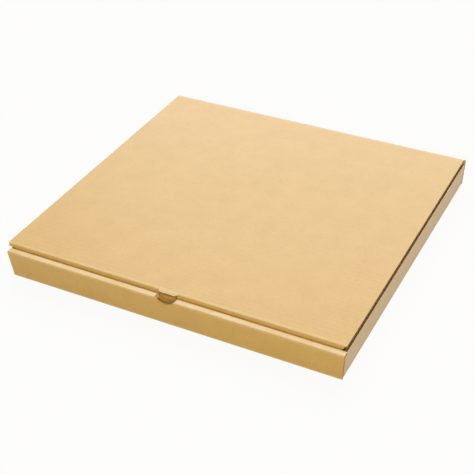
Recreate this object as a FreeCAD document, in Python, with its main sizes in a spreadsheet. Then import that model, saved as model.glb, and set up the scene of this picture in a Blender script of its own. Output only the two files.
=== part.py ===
import FreeCAD, Part
import os

import Sketcher
from FreeCAD import Rotation, Vector

# A flat corrugated board box for one large pizza. It is folded from a single blank:
# a tray with a double front wall, and a lid hinged on the crease above the back wall.
# X runs along the front to the right, Y to the back, Z up. Lengths are in millimetres.

SIZES = {
    # The board
    "board": 2.8,               # thickness of the single wall corrugated board
    "ply_gap": 0.2,             # air between plies folded onto each other
    "crease_radius": 1.4,       # outside radius of the tray's folds
    # The tray
    "tray_width": 393.0,        # across the side folds, at the underside
    "tray_depth": 400.0,        # front face to back face
    "wall_height": 31.0,        # underside to the flat top of the front wall
    "left_lean": 5.5,           # how far the left wall's top stands outside its foot
    "right_lean": 1.2,          # the same on the right
    "front_tab_length": 72.0,   # tabs folded from the side walls into the front wall
    "rear_tab_length": 58.0,    # tabs folded from the side walls along the back wall
    "rear_tab_cut": 9.0,        # bevel on the upper corner of a rear tab
    "seam_gap": 0.6,            # side play of the inner front panel between the side walls
    # The tongues that lock the inner front panel into the bottom
    "tongue_width": 42.0,
    "tongue_spacing": 206.0,    # centre to centre
    "slot_play": 0.4,           # play of a tongue in its slot, each side
    # The thumb notch in the front wall
    "notch_width": 24.0,
    "notch_depth": 5.6,
    "notch_centre": -3.0,       # from the middle of the bottom panel, with the racked wall
    # The lid
    "lid_overhang": 6.5,        # past the top of the left wall
    "lid_inset": 2.2,           # short of the top of the right wall
    "lid_clearance": 0.3,       # lid's underside above the walls
    "lid_crease_radius": 2.6,   # softer fold at the lid's front edge
    "lid_corner_cut": 3.0,      # bevel on the lid's two front corners
    "hinge_gap": 0.15,          # slack in the crease between lid and back wall
    # The tuck flap at the front of the lid
    "tuck_clearance": 0.9,      # tuck flap behind the inner front panel
    "tuck_floor_gap": 6.3,      # lower edge above the bottom panel
    "tuck_shoulder": 16.0,      # the lid's side edges to the flap's ends
    "tuck_taper": 7.0,          # how much narrower each end is at the bottom
    "tuck_corner": 9.0,         # bevel on the lower corners of the flap
    # The thumb tab left flat in the lid's plane above the notch
    "thumb_tab_play": 1.0,      # how much narrower it is than the notch, each side
    "thumb_tab_reach": 4.6,     # past the start of the lid's front fold
    "thumb_tab_corner": 2.0,    # bevel on the tab's front corners
}


class Size:
    """A length that knows its value and the sheet expression that gives it."""

    def __init__(self, value, text):
        self.value = float(value)
        self.text = text

    def __add__(self, other):
        other = as_size(other)
        return Size(self.value + other.value, f"({self.text} + {other.text})")

    def __sub__(self, other):
        other = as_size(other)
        return Size(self.value - other.value, f"({self.text} - {other.text})")

    def __mul__(self, other):
        other = as_size(other)
        return Size(self.value * other.value, f"({self.text} * {other.text})")

    def __truediv__(self, other):
        other = as_size(other)
        return Size(self.value / other.value, f"({self.text} / {other.text})")

    def __neg__(self):
        return Size(-self.value, f"(0 - {self.text})")

    def root(self):
        return Size(self.value ** 0.5, f"({self.text} ^ 0.5)")

    __radd__ = __add__
    __rmul__ = __mul__


def as_size(number):
    return number if isinstance(number, Size) else Size(number, str(number))


document = FreeCAD.newDocument("pizza_box")
sheet = document.addObject("Spreadsheet::Sheet", "Sizes")
for row, (alias, value) in enumerate(SIZES.items(), start=1):
    sheet.set(f"A{row}", alias)
    sheet.set(f"B{row}", str(value))
    sheet.setAlias(f"B{row}", alias)
document.recompute()
volumes = {}                    # of each body after its latest feature


def size(alias):
    return Size(sheet.get(alias), f"Sizes.{alias}")


ZERO = as_size(0)
board = size("board")
ply_gap = size("ply_gap")
crease = size("crease_radius")
depth = size("tray_depth")
height = size("wall_height")
half_width = size("tray_width") / 2
left_lean = size("left_lean")
right_lean = size("right_lean")
BEYOND = as_size(1)             # how far a cut runs past the board

# Places that several pieces share
strip_depth = 3 * board + 2 * ply_gap          # outer panel, side tab and inner panel
floor_top = board + ply_gap                    # where what stands on the bottom begins
under_strip = height - board - ply_gap         # top of what lies under the front strip
ply_front = board + ply_gap                    # front face of the side walls' front tabs
ply_back = depth - board - ply_gap             # rear face of the side walls' rear tabs
lid_under = height + size("lid_clearance")
lid_top = lid_under + board
lid_left = -half_width - left_lean - size("lid_overhang")
lid_right = half_width + right_lean - size("lid_inset")
flap_face = strip_depth + size("tuck_clearance")
flap_foot = board + size("tuck_floor_gap")
lid_fold_start = flap_face + size("lid_crease_radius")
# The lid turns about the point half way round the crease's outside radius
crease_middle = crease * (1 - 0.5 ** 0.5)
hinge_y = depth - crease_middle
hinge_z = lid_top - crease_middle
# The frame's origin is under the middle of the whole box
right_edge = half_width + right_lean * hinge_z / height
frame_x = (lid_left + right_edge) / 2
frame_y = depth / 2


class Bend:
    """A rounded stretch of an outline: where it ends, its centre and its radius."""

    def __init__(self, end, centre, radius):
        self.end = end
        self.centre = Vector(*(as_size(place).value for place in centre), 0)
        self.radius = radius


def origin_plane(body, role):
    return next(f for f in body.Origin.OriginFeatures if f.Role == role)


def bind(feature, path, length):
    feature.setExpression(path, length.text)


def pin_point(sketch, geometry, end, u, v, label):
    """Hold one end of a line or arc at (u, v) from the sketch's origin."""
    for axis, length, kind in (("u", u, "DistanceX"), ("v", v, "DistanceY")):
        if length.text == "0":
            line = -2 if axis == "u" else -1
            sketch.addConstraint(Sketcher.Constraint("PointOnObject", geometry, end, line))
            continue
        rule = Sketcher.Constraint(kind, -1, 1, geometry, end, length.value)
        index = sketch.addConstraint(rule)
        name = f"{axis}_{label}"
        sketch.renameConstraint(index, name)
        bind(sketch, f"Constraints.{name}", length)


def draw_outline(sketch, corners, mark):
    """Draw one closed outline; a corner is (u, v), or a Bend that ends there."""
    places = [corner.end if isinstance(corner, Bend) else corner for corner in corners]
    ends = [(as_size(u), as_size(v)) for u, v in places]
    points = [Vector(u.value, v.value, 0) for u, v in ends]
    joints = []
    for i, corner in enumerate(corners):
        start, stop = points[i - 1], points[i]
        if isinstance(corner, Bend):
            half_way = (start + stop) / 2 - corner.centre
            middle = corner.centre + half_way.normalize() * corner.radius.value
            geometry = sketch.addGeometry(Part.Arc(start, middle, stop), False)
            rule = Sketcher.Constraint("Radius", geometry, corner.radius.value)
            index = sketch.addConstraint(rule)
            name = f"r_{mark}{i}"
            sketch.renameConstraint(index, name)
            bind(sketch, f"Constraints.{name}", corner.radius)
        else:
            geometry = sketch.addGeometry(Part.LineSegment(start, stop), False)
        first_is_start = sketch.getPoint(geometry, 1).distanceToPoint(start) < 1e-6
        joints.append((geometry, 1, 2) if first_is_start else (geometry, 2, 1))
    for i, (geometry, _, last) in enumerate(joints):
        following, first, _ = joints[(i + 1) % len(joints)]
        rule = Sketcher.Constraint("Coincident", geometry, last, following, first)
        sketch.addConstraint(rule)
        pin_point(sketch, geometry, last, *ends[i], f"{mark}{i}")


def new_sketch(body, name, role, outlines, offset=ZERO):
    """A sketch on one of the body's own planes, moved along the plane's normal."""
    sketch = body.newObject("Sketcher::SketchObject", name)
    sketch.AttachmentSupport = [(origin_plane(body, role), "")]
    sketch.MapMode = "FlatFace"
    sketch.AttachmentOffset = FreeCAD.Placement(Vector(0, 0, offset.value), Rotation())
    bind(sketch, "AttachmentOffset.Base.z", offset)
    document.recompute()
    for mark, corners in zip("abcdefgh", outlines):
        draw_outline(sketch, corners, mark)
    return sketch


def finish(body, sketch, feature, grows):
    """Recompute, hide the sketch and make sure the feature added or cut board."""
    before = volumes.get(body.Name, 0.0)
    sketch.Visibility = False
    document.recompute()
    change = feature.Shape.Volume - before
    if (change if grows else -change) <= 0:
        raise RuntimeError(f"{feature.Name} left the volume of {body.Name} as it was")
    volumes[body.Name] = feature.Shape.Volume


def pad(body, name, role, outlines, start, length, slope=None):
    """Add board: outlines on the plane at start, thickened by length to +X, +Y or +Z."""
    normal_sign = -1 if role == "XZ_Plane" else 1
    sketch = new_sketch(body, name + "_outline", role, outlines, start * normal_sign)
    feature = body.newObject("PartDesign::Pad", name)
    feature.Profile = sketch
    feature.Length = length.value
    bind(feature, "Length", length)
    feature.Reversed = normal_sign < 0
    if slope is not None:
        feature.UseCustomVector = True
        feature.AlongSketchNormal = True
        feature.Direction = Vector(slope.value, 0, length.value)
        bind(feature, "Direction.x", slope)
        bind(feature, "Direction.z", length)
    finish(body, sketch, feature, grows=True)


def pocket(body, name, role, outlines, start, length):
    """Cut board away: outlines on the plane at start, to +X, +Y or +Z by length."""
    normal_sign = -1 if role == "XZ_Plane" else 1
    sketch = new_sketch(body, name + "_outline", role, outlines, start * normal_sign)
    feature = body.newObject("PartDesign::Pocket", name)
    feature.Profile = sketch
    feature.Length = length.value
    bind(feature, "Length", length)
    feature.Reversed = normal_sign > 0
    finish(body, sketch, feature, grows=False)


def rectangle(u0, v0, u1, v1):
    return [(u0, v0), (u1, v0), (u1, v1), (u0, v1)]


def wall_x(side, lean, z, inset=ZERO):
    """X of a side wall's outer face at height z, less inset towards the middle."""
    return (half_width - inset + lean * z / height) * side


# The tray


def add_main_run(body):
    """Inner front panel, front strip, front, bottom and back wall, seen from the side."""
    inner_face = strip_depth - board
    section = [
        Bend((0, crease), (crease, crease), crease),
        (0, height - crease),
        Bend((crease, height), (crease, height - crease), crease),
        (strip_depth - crease, height),
        Bend((strip_depth, height - crease), (strip_depth - crease, height - crease), crease),
        (strip_depth, floor_top),
        (inner_face, floor_top),
        (inner_face, height - board),
        (board, height - board),
        (board, board),
        (depth - board, board),
        (depth - board, lid_under),
        (hinge_y, hinge_z),
        Bend((depth, lid_top - crease), (depth - crease, lid_top - crease), crease),
        (depth, crease),
        Bend((depth - crease, 0), (depth - crease, crease), crease),
        (crease, 0),
    ]
    reach = half_width + left_lean + right_lean
    pad(body, "main_run", "YZ_Plane", [section], -reach, 2 * reach)

    # The free ends of the front and back walls follow the lean of the side walls
    far = reach + BEYOND
    low, high = -BEYOND, lid_top + BEYOND
    ends = []
    for side, lean in ((-1, left_lean), (1, right_lean)):
        foot = (half_width + lean * low / height) * side
        top = (half_width + lean * high / height) * side
        ends.append([(foot, low), (far * side, low), (far * side, high), (top, high)])
    pocket(body, "wall_ends", "XZ_Plane", ends, -BEYOND, depth + 2 * BEYOND)

    # The bottom stops where the side folds begin, and the inner panel inside the walls
    edges = [
        rectangle((half_width - board) * s, board, far * s, depth - board) for s in (-1, 1)
    ]
    pocket(body, "bottom_edges", "XY_Plane", edges, -BEYOND, board + 2 * BEYOND)
    clear = half_width - board - size("seam_gap")
    inner_ends = [
        rectangle(clear * s, board, far * s, strip_depth + BEYOND) for s in (-1, 1)
    ]
    pocket(body, "inner_panel_ends", "XY_Plane", inner_ends, board, height - 2 * board)


def add_side_wall(body, name, side, lean):
    """One side wall with its front and rear tabs, leaning outwards from its fold."""
    outer = wall_x(side, lean, floor_top)
    inner = wall_x(side, lean, floor_top, board)
    bend = wall_x(side, lean, floor_top, crease)
    front_end = wall_x(side, lean, floor_top, size("front_tab_length"))
    rear_end = wall_x(side, lean, floor_top, size("rear_tab_length"))
    plan = [
        (front_end, ply_front),
        (bend, ply_front),
        Bend((outer, ply_front + crease), (bend, ply_front + crease), crease),
        (outer, ply_back - crease),
        Bend((bend, ply_back), (bend, ply_back - crease), crease),
        (rear_end, ply_back),
        (rear_end, ply_back - board),
        (inner, ply_back - board),
        (inner, ply_front + board),
        (front_end, ply_front + board),
    ]
    rise = under_strip - floor_top
    pad(body, name, "XY_Plane", [plan], floor_top, rise, lean * side * rise / height)

    # Behind the front strip the wall stands as high as the strip
    shoulder = under_strip - board
    crown_rise = height - shoulder
    crown = rectangle(
        wall_x(side, lean, shoulder), strip_depth + ply_gap,
        wall_x(side, lean, shoulder, board), ply_back - crease,
    )
    slope = lean * side * crown_rise / height
    pad(body, name + "_crown", "XY_Plane", [crown], shoulder, crown_rise, slope)

    # The fold along the bottom, which stops short of the two corners. Its arc touches
    # the underside and the leaning wall at the same distance from their common edge.
    fold_top = floor_top + board
    slant = (lean * lean + height * height).root()
    tangent = crease * (slant - lean) / height
    touch_z = tangent * height / slant
    fold = [
        ((half_width - 2 * board) * side, 0),
        ((half_width - tangent) * side, 0),
        Bend((wall_x(side, lean, touch_z), touch_z),
             ((half_width - tangent) * side, crease), crease),
        (wall_x(side, lean, fold_top), fold_top),
        (wall_x(side, lean, fold_top, board), fold_top),
        (wall_x(side, lean, board, board), board),
        ((half_width - 2 * board) * side, board),
    ]
    fold_start = ply_front + crease
    pad(body, name + "_fold", "XZ_Plane", [fold], fold_start, ply_back - crease - fold_start)

    # The rear tab's upper corner is bevelled
    cut = size("rear_tab_cut")
    tip = wall_x(side, lean, under_strip, size("rear_tab_length"))
    outside = tip - (BEYOND + lean) * side
    bevel = [
        (outside, under_strip - cut),
        (tip, under_strip - cut),
        (tip + cut * side, under_strip),
        (tip + cut * side, under_strip + BEYOND),
        (outside, under_strip + BEYOND),
    ]
    pocket(body, name + "_tab_bevel", "XZ_Plane", [bevel], ply_back - board - ply_gap,
           board + 2 * ply_gap)


def add_tongues(body):
    """Two tongues on the inner front panel, each standing in its slot in the bottom."""
    play = size("slot_play")
    inner_face = strip_depth - board
    slots, tongues = [], []
    for side in (-1, 1):
        middle = size("tongue_spacing") / 2 * side
        reach = size("tongue_width") / 2
        slots.append(rectangle(middle - reach - play, inner_face - play,
                               middle + reach + play, strip_depth + play))
        tongues.append(rectangle(middle - reach, inner_face, middle + reach, strip_depth))
    pocket(body, "slots", "XY_Plane", slots, -BEYOND, board + BEYOND)
    pad(body, "tongues", "XY_Plane", tongues, ZERO, floor_top + board)


def add_notch(body):
    """The thumb notch, a shallow arc through the whole front wall."""
    middle = size("notch_centre")
    reach = size("notch_width") / 2
    drop = size("notch_depth")
    radius = (reach * reach + drop * drop) / (2 * drop)
    sill = height - drop
    above = height + BEYOND
    outline = [
        (middle - reach, above),
        (middle - reach, height),
        Bend((middle + reach, height), (middle, sill + radius), radius),
        (middle + reach, above),
    ]
    pocket(body, "thumb_notch", "XZ_Plane", [outline], -BEYOND, strip_depth + 2 * BEYOND)


def make_tray():
    body = document.addObject("PartDesign::Body", "base_tray")
    body.Label = "base_tray"
    add_main_run(body)
    add_side_wall(body, "left_wall", -1, left_lean)
    add_side_wall(body, "right_wall", 1, right_lean)
    add_tongues(body)
    add_notch(body)
    return body


# The lid


def add_lid_run(body):
    """Lid panel, its soft front fold and the tuck flap, seen from the side."""
    radius = size("lid_crease_radius")
    slack = size("hinge_gap")
    rear_crease = depth - crease - slack
    section = [
        Bend((flap_face, lid_top - radius), (lid_fold_start, lid_top - radius), radius),
        (flap_face, flap_foot),
        (flap_face + board, flap_foot),
        (flap_face + board, lid_under),
        (depth - board - slack, lid_under),
        (hinge_y - slack, hinge_z),
        Bend((rear_crease, lid_top), (rear_crease, lid_top - crease), crease),
        (lid_fold_start, lid_top),
    ]
    pad(body, "lid_run", "YZ_Plane", [section], lid_left, lid_right - lid_left)


def shape_tuck_flap(body):
    """Shoulders, tapered ends and bevelled corners of the tuck flap."""
    low = flap_foot - BEYOND
    corner = size("tuck_corner")
    waste = []
    for side, edge in ((-1, lid_left), (1, lid_right)):
        root = edge - size("tuck_shoulder") * side
        tip = root - size("tuck_taper") * side
        far = edge + BEYOND * side
        waste.append([
            (far, lid_under), (root, lid_under), (tip, flap_foot + corner),
            (tip - corner * side, flap_foot), (tip - corner * side, low), (far, low),
        ])
    pocket(body, "flap_ends", "XZ_Plane", waste, flap_face - BEYOND, board + 2 * BEYOND)


def shape_lid_corners(body):
    """Small bevels on the two front corners of the lid panel."""
    cut = size("lid_corner_cut")
    ahead = flap_face - BEYOND
    corners = []
    for side, edge in ((-1, lid_left), (1, lid_right)):
        far = edge + BEYOND * side
        corners.append([
            (edge - cut * side, ahead), (far, ahead), (far, flap_face + cut),
            (edge, flap_face + cut), (edge - cut * side, flap_face),
        ])
    pocket(body, "lid_corners", "XY_Plane", corners, lid_under - BEYOND, board + 2 * BEYOND)


def add_thumb_tab(body):
    """A tab left flat in the lid's plane, cut out of the front fold above the notch."""
    middle = size("notch_centre")
    reach = size("notch_width") / 2 - size("thumb_tab_play")
    corner = size("thumb_tab_corner")
    front = lid_fold_start - size("thumb_tab_reach")
    flap_cut = lid_top - size("thumb_tab_reach")
    window = rectangle(middle - reach, flap_cut, middle + reach, lid_top + BEYOND)
    pocket(body, "tab_window", "XZ_Plane", [window], flap_face - BEYOND,
           size("lid_crease_radius") + BEYOND)
    tab = [
        (middle - reach + corner, front), (middle + reach - corner, front),
        (middle + reach, front + corner), (middle + reach, lid_fold_start + board),
        (middle - reach, lid_fold_start + board), (middle - reach, front + corner),
    ]
    pad(body, "thumb_tab", "XY_Plane", [tab], lid_under, board)


def make_lid():
    body = document.addObject("PartDesign::Body", "lid")
    body.Label = "lid"
    add_lid_run(body)
    shape_tuck_flap(body)
    shape_lid_corners(body)
    add_thumb_tab(body)
    return body


def place(body):
    """Move a finished body so that the frame's origin is under the box's middle."""
    body.Placement.Base = Vector(-frame_x.value, -frame_y.value, 0)
    bind(body, "Placement.Base.x", -frame_x)
    bind(body, "Placement.Base.y", -frame_y)


pieces = [make_tray(), make_lid()]
for piece in pieces:
    place(piece)
document.recompute()

for item in document.Objects:
    if "Invalid" in item.State or "Error" in item.State:
        raise RuntimeError(f"{item.Name} failed: {item.State}")
for piece in pieces:
    if piece.Shape.isNull() or not piece.Shape.isValid():
        raise RuntimeError(f"{piece.Label} has no valid shape")
    if len(piece.Shape.Solids) != 1:
        raise RuntimeError(f"{piece.Label} is not one folded sheet")

os.makedirs("parts", exist_ok=True)
for piece in pieces:
    piece.Shape.exportStep(f"parts/{piece.Label}.step")
    box = piece.Shape.BoundBox
    print(f"{piece.Label}: {box.XMin:.2f} {box.YMin:.2f} {box.ZMin:.2f} to "
          f"{box.XMax:.2f} {box.YMax:.2f} {box.ZMax:.2f}, {piece.Shape.Volume:.0f} mm3")
print(f"lid hinge at y {(hinge_y - frame_y).value:.3f}, z {hinge_z.value:.3f}")
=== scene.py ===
import logging
import math
from collections.abc import Callable, Iterable, Sequence
from dataclasses import dataclass
from enum import Enum

import bmesh
import bpy
from mathutils import Matrix, Vector, noise


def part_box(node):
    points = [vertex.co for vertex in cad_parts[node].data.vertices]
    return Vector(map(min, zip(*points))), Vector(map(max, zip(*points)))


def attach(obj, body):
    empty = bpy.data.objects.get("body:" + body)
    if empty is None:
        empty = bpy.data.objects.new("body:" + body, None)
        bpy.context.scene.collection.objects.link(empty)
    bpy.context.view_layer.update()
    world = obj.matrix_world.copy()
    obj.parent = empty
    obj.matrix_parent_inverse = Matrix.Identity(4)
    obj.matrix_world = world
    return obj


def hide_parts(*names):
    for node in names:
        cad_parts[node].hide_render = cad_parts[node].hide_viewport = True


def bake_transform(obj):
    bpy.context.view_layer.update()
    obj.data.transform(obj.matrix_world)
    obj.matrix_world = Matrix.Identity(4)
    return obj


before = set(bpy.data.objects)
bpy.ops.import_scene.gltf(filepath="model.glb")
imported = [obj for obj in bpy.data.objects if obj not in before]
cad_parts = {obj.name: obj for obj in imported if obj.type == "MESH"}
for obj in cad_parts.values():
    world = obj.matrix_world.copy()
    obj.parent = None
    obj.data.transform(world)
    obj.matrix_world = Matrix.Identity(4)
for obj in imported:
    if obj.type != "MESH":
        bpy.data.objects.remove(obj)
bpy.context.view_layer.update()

# A flat pizza box of corrugated kraft board, closed and lying on a pale floor.
# Lengths are in millimetres until a mesh is made, and X, Y and Z run as in the frame.

MM = 0.001
RIGHT, BACK, UP = (Vector(way) * MM for way in ((1, 0, 0), (0, 1, 0), (0, 0, 1)))
PAST = 1.0      # how far a knife reaches past the paper that it cuts
NICK = 0.1      # the same where other paper lies close behind
HAIR = 0.01     # how far it stays clear of paper that it must not touch
WASTE = 20.0    # how wide a knife is over the waste beside a panel
TRIM = 8.0      # the same beside a small corner
BACKDROP = (1, 0.995, 0.985, 1)   # the warm white all round the box
log = logging.getLogger("pizza_box")

Point = tuple[float, float]
Place = Callable[[float, float, float], Vector]
Piece, Socket, Tree = bpy.types.Object, bpy.types.NodeSocket, bpy.types.NodeTree


class Skin(Enum):
    """The surfaces of a corrugated board, in the order of a piece's material slots."""

    OUTER = 0
    INNER = 1
    CUT = 2
    MEDIUM = 3


class Ridges(Enum):
    """The way the board's hidden flutes follow each other on a panel."""

    ALONG_RUN = "from the front to the back, up and down a standing panel"
    ALONG_WALL = "along a side wall, whose flutes stand upright"


@dataclass(frozen=True)
class Board:
    """Single wall corrugated board.

    Attributes:
        thickness: both liners and the flutes between them.
        liner: thickness drawn for a liner, coarser than the real 0.2 so that it shows.
        paper: thickness drawn for the fluted medium, coarser for the same reason.
        pitch: from one flute's crest to the next.
        play: air between the medium's crests and the liners.
    """

    thickness: float = 2.8
    liner: float = 0.32
    paper: float = 0.26
    pitch: float = 6.5
    play: float = 0.01


BOARD = Board()


@dataclass
class Layout:
    """Places that the tray and the lid share: Y from the front face, Z from the floor.

    Attributes:
        crease: outside radius of the tray's folds.
        ply_gap: air between plies folded onto each other.
        leans: how far each side wall's top stands outside its foot, left and right.
        lid_gap: the lid's underside above the walls.
        lid_crease: outside radius of the lid's soft front fold.
        slack: air in the crease between lid and back wall.
        seam_reach: how far the crease's own piece of liner reaches from the crease.
        tuck_gap: the tuck flap behind the inner front panel.
        notch: width and depth of the thumb notch.
        notch_shift: the notch's middle from the bottom panel's middle.
    """

    crease: float = 1.4
    ply_gap: float = 0.2
    leans: Point = (5.5, 1.2)
    lid_gap: float = 0.3
    lid_crease: float = 2.6
    slack: float = 0.15
    seam_reach: float = 6.0
    tuck_gap: float = 0.9
    notch: Point = (24.0, 5.6)
    notch_shift: float = -3.0

    def __post_init__(self) -> None:
        """Read the two CAD boxes and lay out the section between them."""
        tray_low, tray_high = (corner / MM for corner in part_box("base_tray"))
        lid_low, lid_high = (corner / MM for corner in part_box("lid"))
        self.front = tray_low.y
        self.depth = tray_high.y - tray_low.y
        self.lid_left, self.lid_right = lid_low.x, lid_high.x
        self.lid_top = lid_high.z
        self.flap_foot = lid_low.z
        self.lid_under = self.lid_top - BOARD.thickness
        self.height = self.lid_under - self.lid_gap
        crease_middle = self.crease * (1 - math.sqrt(0.5))
        self.hinge_y = self.depth - crease_middle
        self.hinge_z = self.lid_top - crease_middle
        self.wall_seam = self.hinge_z - self.seam_reach
        self.lid_seam = self.hinge_y - self.seam_reach
        rise = self.hinge_z / self.height
        left_foot = tray_low.x + self.leans[0] * rise
        right_foot = tray_high.x - self.leans[1] * rise
        self.middle = (left_foot + right_foot) / 2
        self.half_width = (right_foot - left_foot) / 2
        self.notch_middle = self.middle + self.notch_shift
        self.floor_top = BOARD.thickness + self.ply_gap
        self.under_strip = self.height - self.floor_top
        self.strip = 3 * BOARD.thickness + 2 * self.ply_gap
        self.inner_face = self.strip - BOARD.thickness
        self.flap_face = self.strip + self.tuck_gap
        self.fold_start = self.flap_face + self.lid_crease
        self.tab_front = lid_low.y - self.front
        self.ply_front = self.floor_top
        self.ply_back = self.depth - self.floor_top

    def lean(self, side: int) -> float:
        """How far the wall on that side, -1 left or 1 right, leans outwards."""
        return self.leans[0] if side < 0 else self.leans[1]

    def up(self, side: int) -> Vector:
        """The way up the leaning wall on that side, in metres for each millimetre."""
        return Vector((self.lean(side) / self.height * side, 0, 1)) * MM

    def wall_x(self, side: int, z: float, inset: float = 0.0) -> float:
        """X of a side wall's outer face at height z, less inset towards the middle."""
        out = self.half_width - inset + self.lean(side) * z / self.height
        return self.middle + out * side

    def lid_edges(self) -> tuple[tuple[int, float], ...]:
        """The lid's two sides, each with X of its edge."""
        return ((-1, self.lid_left), (1, self.lid_right))

    def in_frame(self, x: float, y: float, z: float) -> Vector:
        """A place in the frame, in metres; y is counted from the box's front face."""
        return Vector((x, y + self.front, z)) * MM

    def upright(self, x: float, z: float, y: float) -> Vector:
        """The same for an outline in X and Z, whose depth comes last."""
        return self.in_frame(x, y, z)


def left_of(start: Point, end: Point) -> Point:
    """The unit normal on the left of a straight way.

    Args:
        start: where the way starts.
        end: where it ends.

    Returns:
        The normal's two parts.
    """
    du, dv = end[0] - start[0], end[1] - start[1]
    length = math.hypot(du, dv)
    return (-dv / length, du / length)


def shifted(path: Sequence[Point], distance: float) -> list[Point]:
    """Shift an open path to its left, mitred at its corners.

    Args:
        path: the points of the open path.
        distance: how far to the left; a negative distance shifts to the right.

    Returns:
        As many points as the path has.
    """
    normals = [left_of(a, b) for a, b in zip(path, path[1:])]
    result = []
    for (u, v), (au, av), (bu, bv) in zip(path, [normals[0], *normals], [*normals, normals[-1]]):
        share = distance / (1 + au * bu + av * bv)
        result.append((u + (au + bu) * share, v + (av + bv) * share))
    return result


def arc(centre: Point, radius: float, start: float, sweep: float, steps: int = 6) -> list[Point]:
    """Points round an arc.

    Args:
        centre: the arc's centre.
        radius: its radius.
        start: the first point's angle in degrees, from +u towards +v.
        sweep: the angle turned through, negative for clockwise.
        steps: how many chords stand for the arc.

    Returns:
        steps + 1 points.
    """
    angles = [math.radians(start + sweep * i / steps) for i in range(steps + 1)]
    return [(centre[0] + radius * math.cos(a), centre[1] + radius * math.sin(a)) for a in angles]


def rectangle(u0: float, v0: float, u1: float, v1: float) -> list[Point]:
    """The corners of an upright rectangle."""
    return [(u0, v0), (u1, v0), (u1, v1), (u0, v1)]


def even(count: int) -> list[float]:
    """The ends of a number of equal shares of a width, from 0 to 1."""
    return [i / count for i in range(count + 1)]


def refined(path: Sequence[Point], step: float, margin: float = 1.6) -> list[Point]:
    """Divide a path's long runs, with two short stretches beside each corner.

    Args:
        path: the path's corners.
        step: the longest stretch wanted.
        margin: length of the first short stretch; the second is half as long again.

    Returns:
        The path with the added points.
    """
    result = [path[0]]
    for (au, av), (bu, bv) in zip(path, path[1:]):
        length = math.hypot(bu - au, bv - av)
        if length > 8 * margin:
            inside = length - 5 * margin
            count = max(1, math.ceil(inside / step))
            middle = [2.5 * margin + inside * i / count for i in range(count + 1)]
            stops = [margin, *middle, length - margin]
            result += [(au + (bu - au) * s / length, av + (bv - av) * s / length) for s in stops]
        result.append((bu, bv))
    return result


class Sheet:
    """A mesh in the making: closed thin shells of paper with a skin for each face."""

    def __init__(self) -> None:
        """Start with no faces."""
        self.vertices: list[Vector] = []
        self.faces: list[tuple[int, ...]] = []
        self.skins: list[Skin] = []

    def add_face(self, skin: Skin, *corners: int) -> None:
        """Add one face with its skin."""
        self.faces.append(corners)
        self.skins.append(skin)

    def add_leaf(self, face: Sequence[Point], back: Sequence[Point], place: Place,
                 stops: Sequence[float], skin: Skin) -> None:
        """Add one closed leaf of paper that follows a path.

        Args:
            face: the path of the leaf's visible face.
            back: the path of its hidden face, with as many points.
            place: gives the vertex for a path's point and a share of the leaf's width.
            stops: the shares of the width where the leaf has vertices.
            skin: the finish of the visible face.
        """
        first = len(self.vertices)
        rows, columns = len(face), len(stops)
        for path in (face, back):
            self.vertices += [place(u, v, w) for u, v in path for w in stops]

        def at(layer: int, row: int, column: int) -> int:
            """The vertex of a layer's row and column."""
            return first + (layer * rows + row) * columns + column

        for i in range(rows - 1):
            for j in range(columns - 1):
                self.add_face(skin, at(0, i, j), at(0, i + 1, j), at(0, i + 1, j + 1), at(0, i, j + 1))
                self.add_face(Skin.MEDIUM, at(1, i, j), at(1, i, j + 1), at(1, i + 1, j + 1),
                              at(1, i + 1, j))
        for i in range(rows - 1):
            for j in (0, columns - 1):
                self.add_face(Skin.CUT, at(0, i, j), at(0, i + 1, j), at(1, i + 1, j), at(1, i, j))
        for j in range(columns - 1):
            for i in (0, rows - 1):
                self.add_face(Skin.CUT, at(0, i, j), at(0, i, j + 1), at(1, i, j + 1), at(1, i, j))

    def add_board(self, outer: Sequence[Point], inner: Sequence[Point], place: Place,
                  stops: Sequence[float], inwards: int = 1) -> None:
        """Add both liners of a run of board.

        Args:
            outer: the path of the outside liner's face.
            inner: the path of the inside liner's face.
            place: gives the vertex for a path's point and a share of the width.
            stops: the shares of the width where the liners have vertices.
            inwards: 1 where the board lies on the left of the outer path, -1 on its right.
        """
        for path, way, skin in ((outer, inwards, Skin.OUTER), (inner, -inwards, Skin.INNER)):
            self.add_leaf(path, shifted(path, BOARD.liner * way), place, stops, skin)

    def add_prism(self, outline: Sequence[Point], low: float, high: float, place: Place) -> None:
        """Add a closed prism, used to cut paper away.

        Args:
            outline: its outline, anticlockwise or clockwise.
            low: where it starts across the outline's plane.
            high: where it ends.
            place: gives the vertex for an outline's point and a place across it.
        """
        first, count = len(self.vertices), len(outline)
        for across in (low, high):
            self.vertices += [place(u, v, across) for u, v in outline]
        self.add_face(Skin.CUT, *range(first, first + count))
        self.add_face(Skin.CUT, *range(first + count, first + 2 * count))
        for i in range(count):
            j = (i + 1) % count
            self.add_face(Skin.CUT, first + i, first + j, first + count + j, first + count + i)

    def to_object(self, name: str) -> Piece:
        """Make the mesh, with every shell's faces turned outwards.

        Args:
            name: the object's name.

        Returns:
            An object at the origin, linked to the scene.
        """
        mesh = bpy.data.meshes.new(name)
        mesh.from_pydata([tuple(v) for v in self.vertices], [], self.faces)
        mesh.polygons.foreach_set("material_index", [s.value for s in self.skins])
        turn_outwards(mesh)
        return linked(name, mesh)


def linked(name: str, data: bpy.types.ID) -> Piece:
    """Put a mesh, a lamp or a camera into the scene.

    Args:
        name: the object's name.
        data: what the object shows.

    Returns:
        An object at the origin.
    """
    made = bpy.data.objects.new(name, data)
    bpy.context.scene.collection.objects.link(made)
    return made


def turn_outwards(mesh: bpy.types.Mesh) -> None:
    """Turn the faces of closed shells outwards.

    Args:
        mesh: the mesh, which is changed in place.
    """
    work = bmesh.new()
    work.from_mesh(mesh)
    bmesh.ops.recalc_face_normals(work, faces=work.faces)
    work.to_mesh(mesh)
    work.free()


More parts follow.
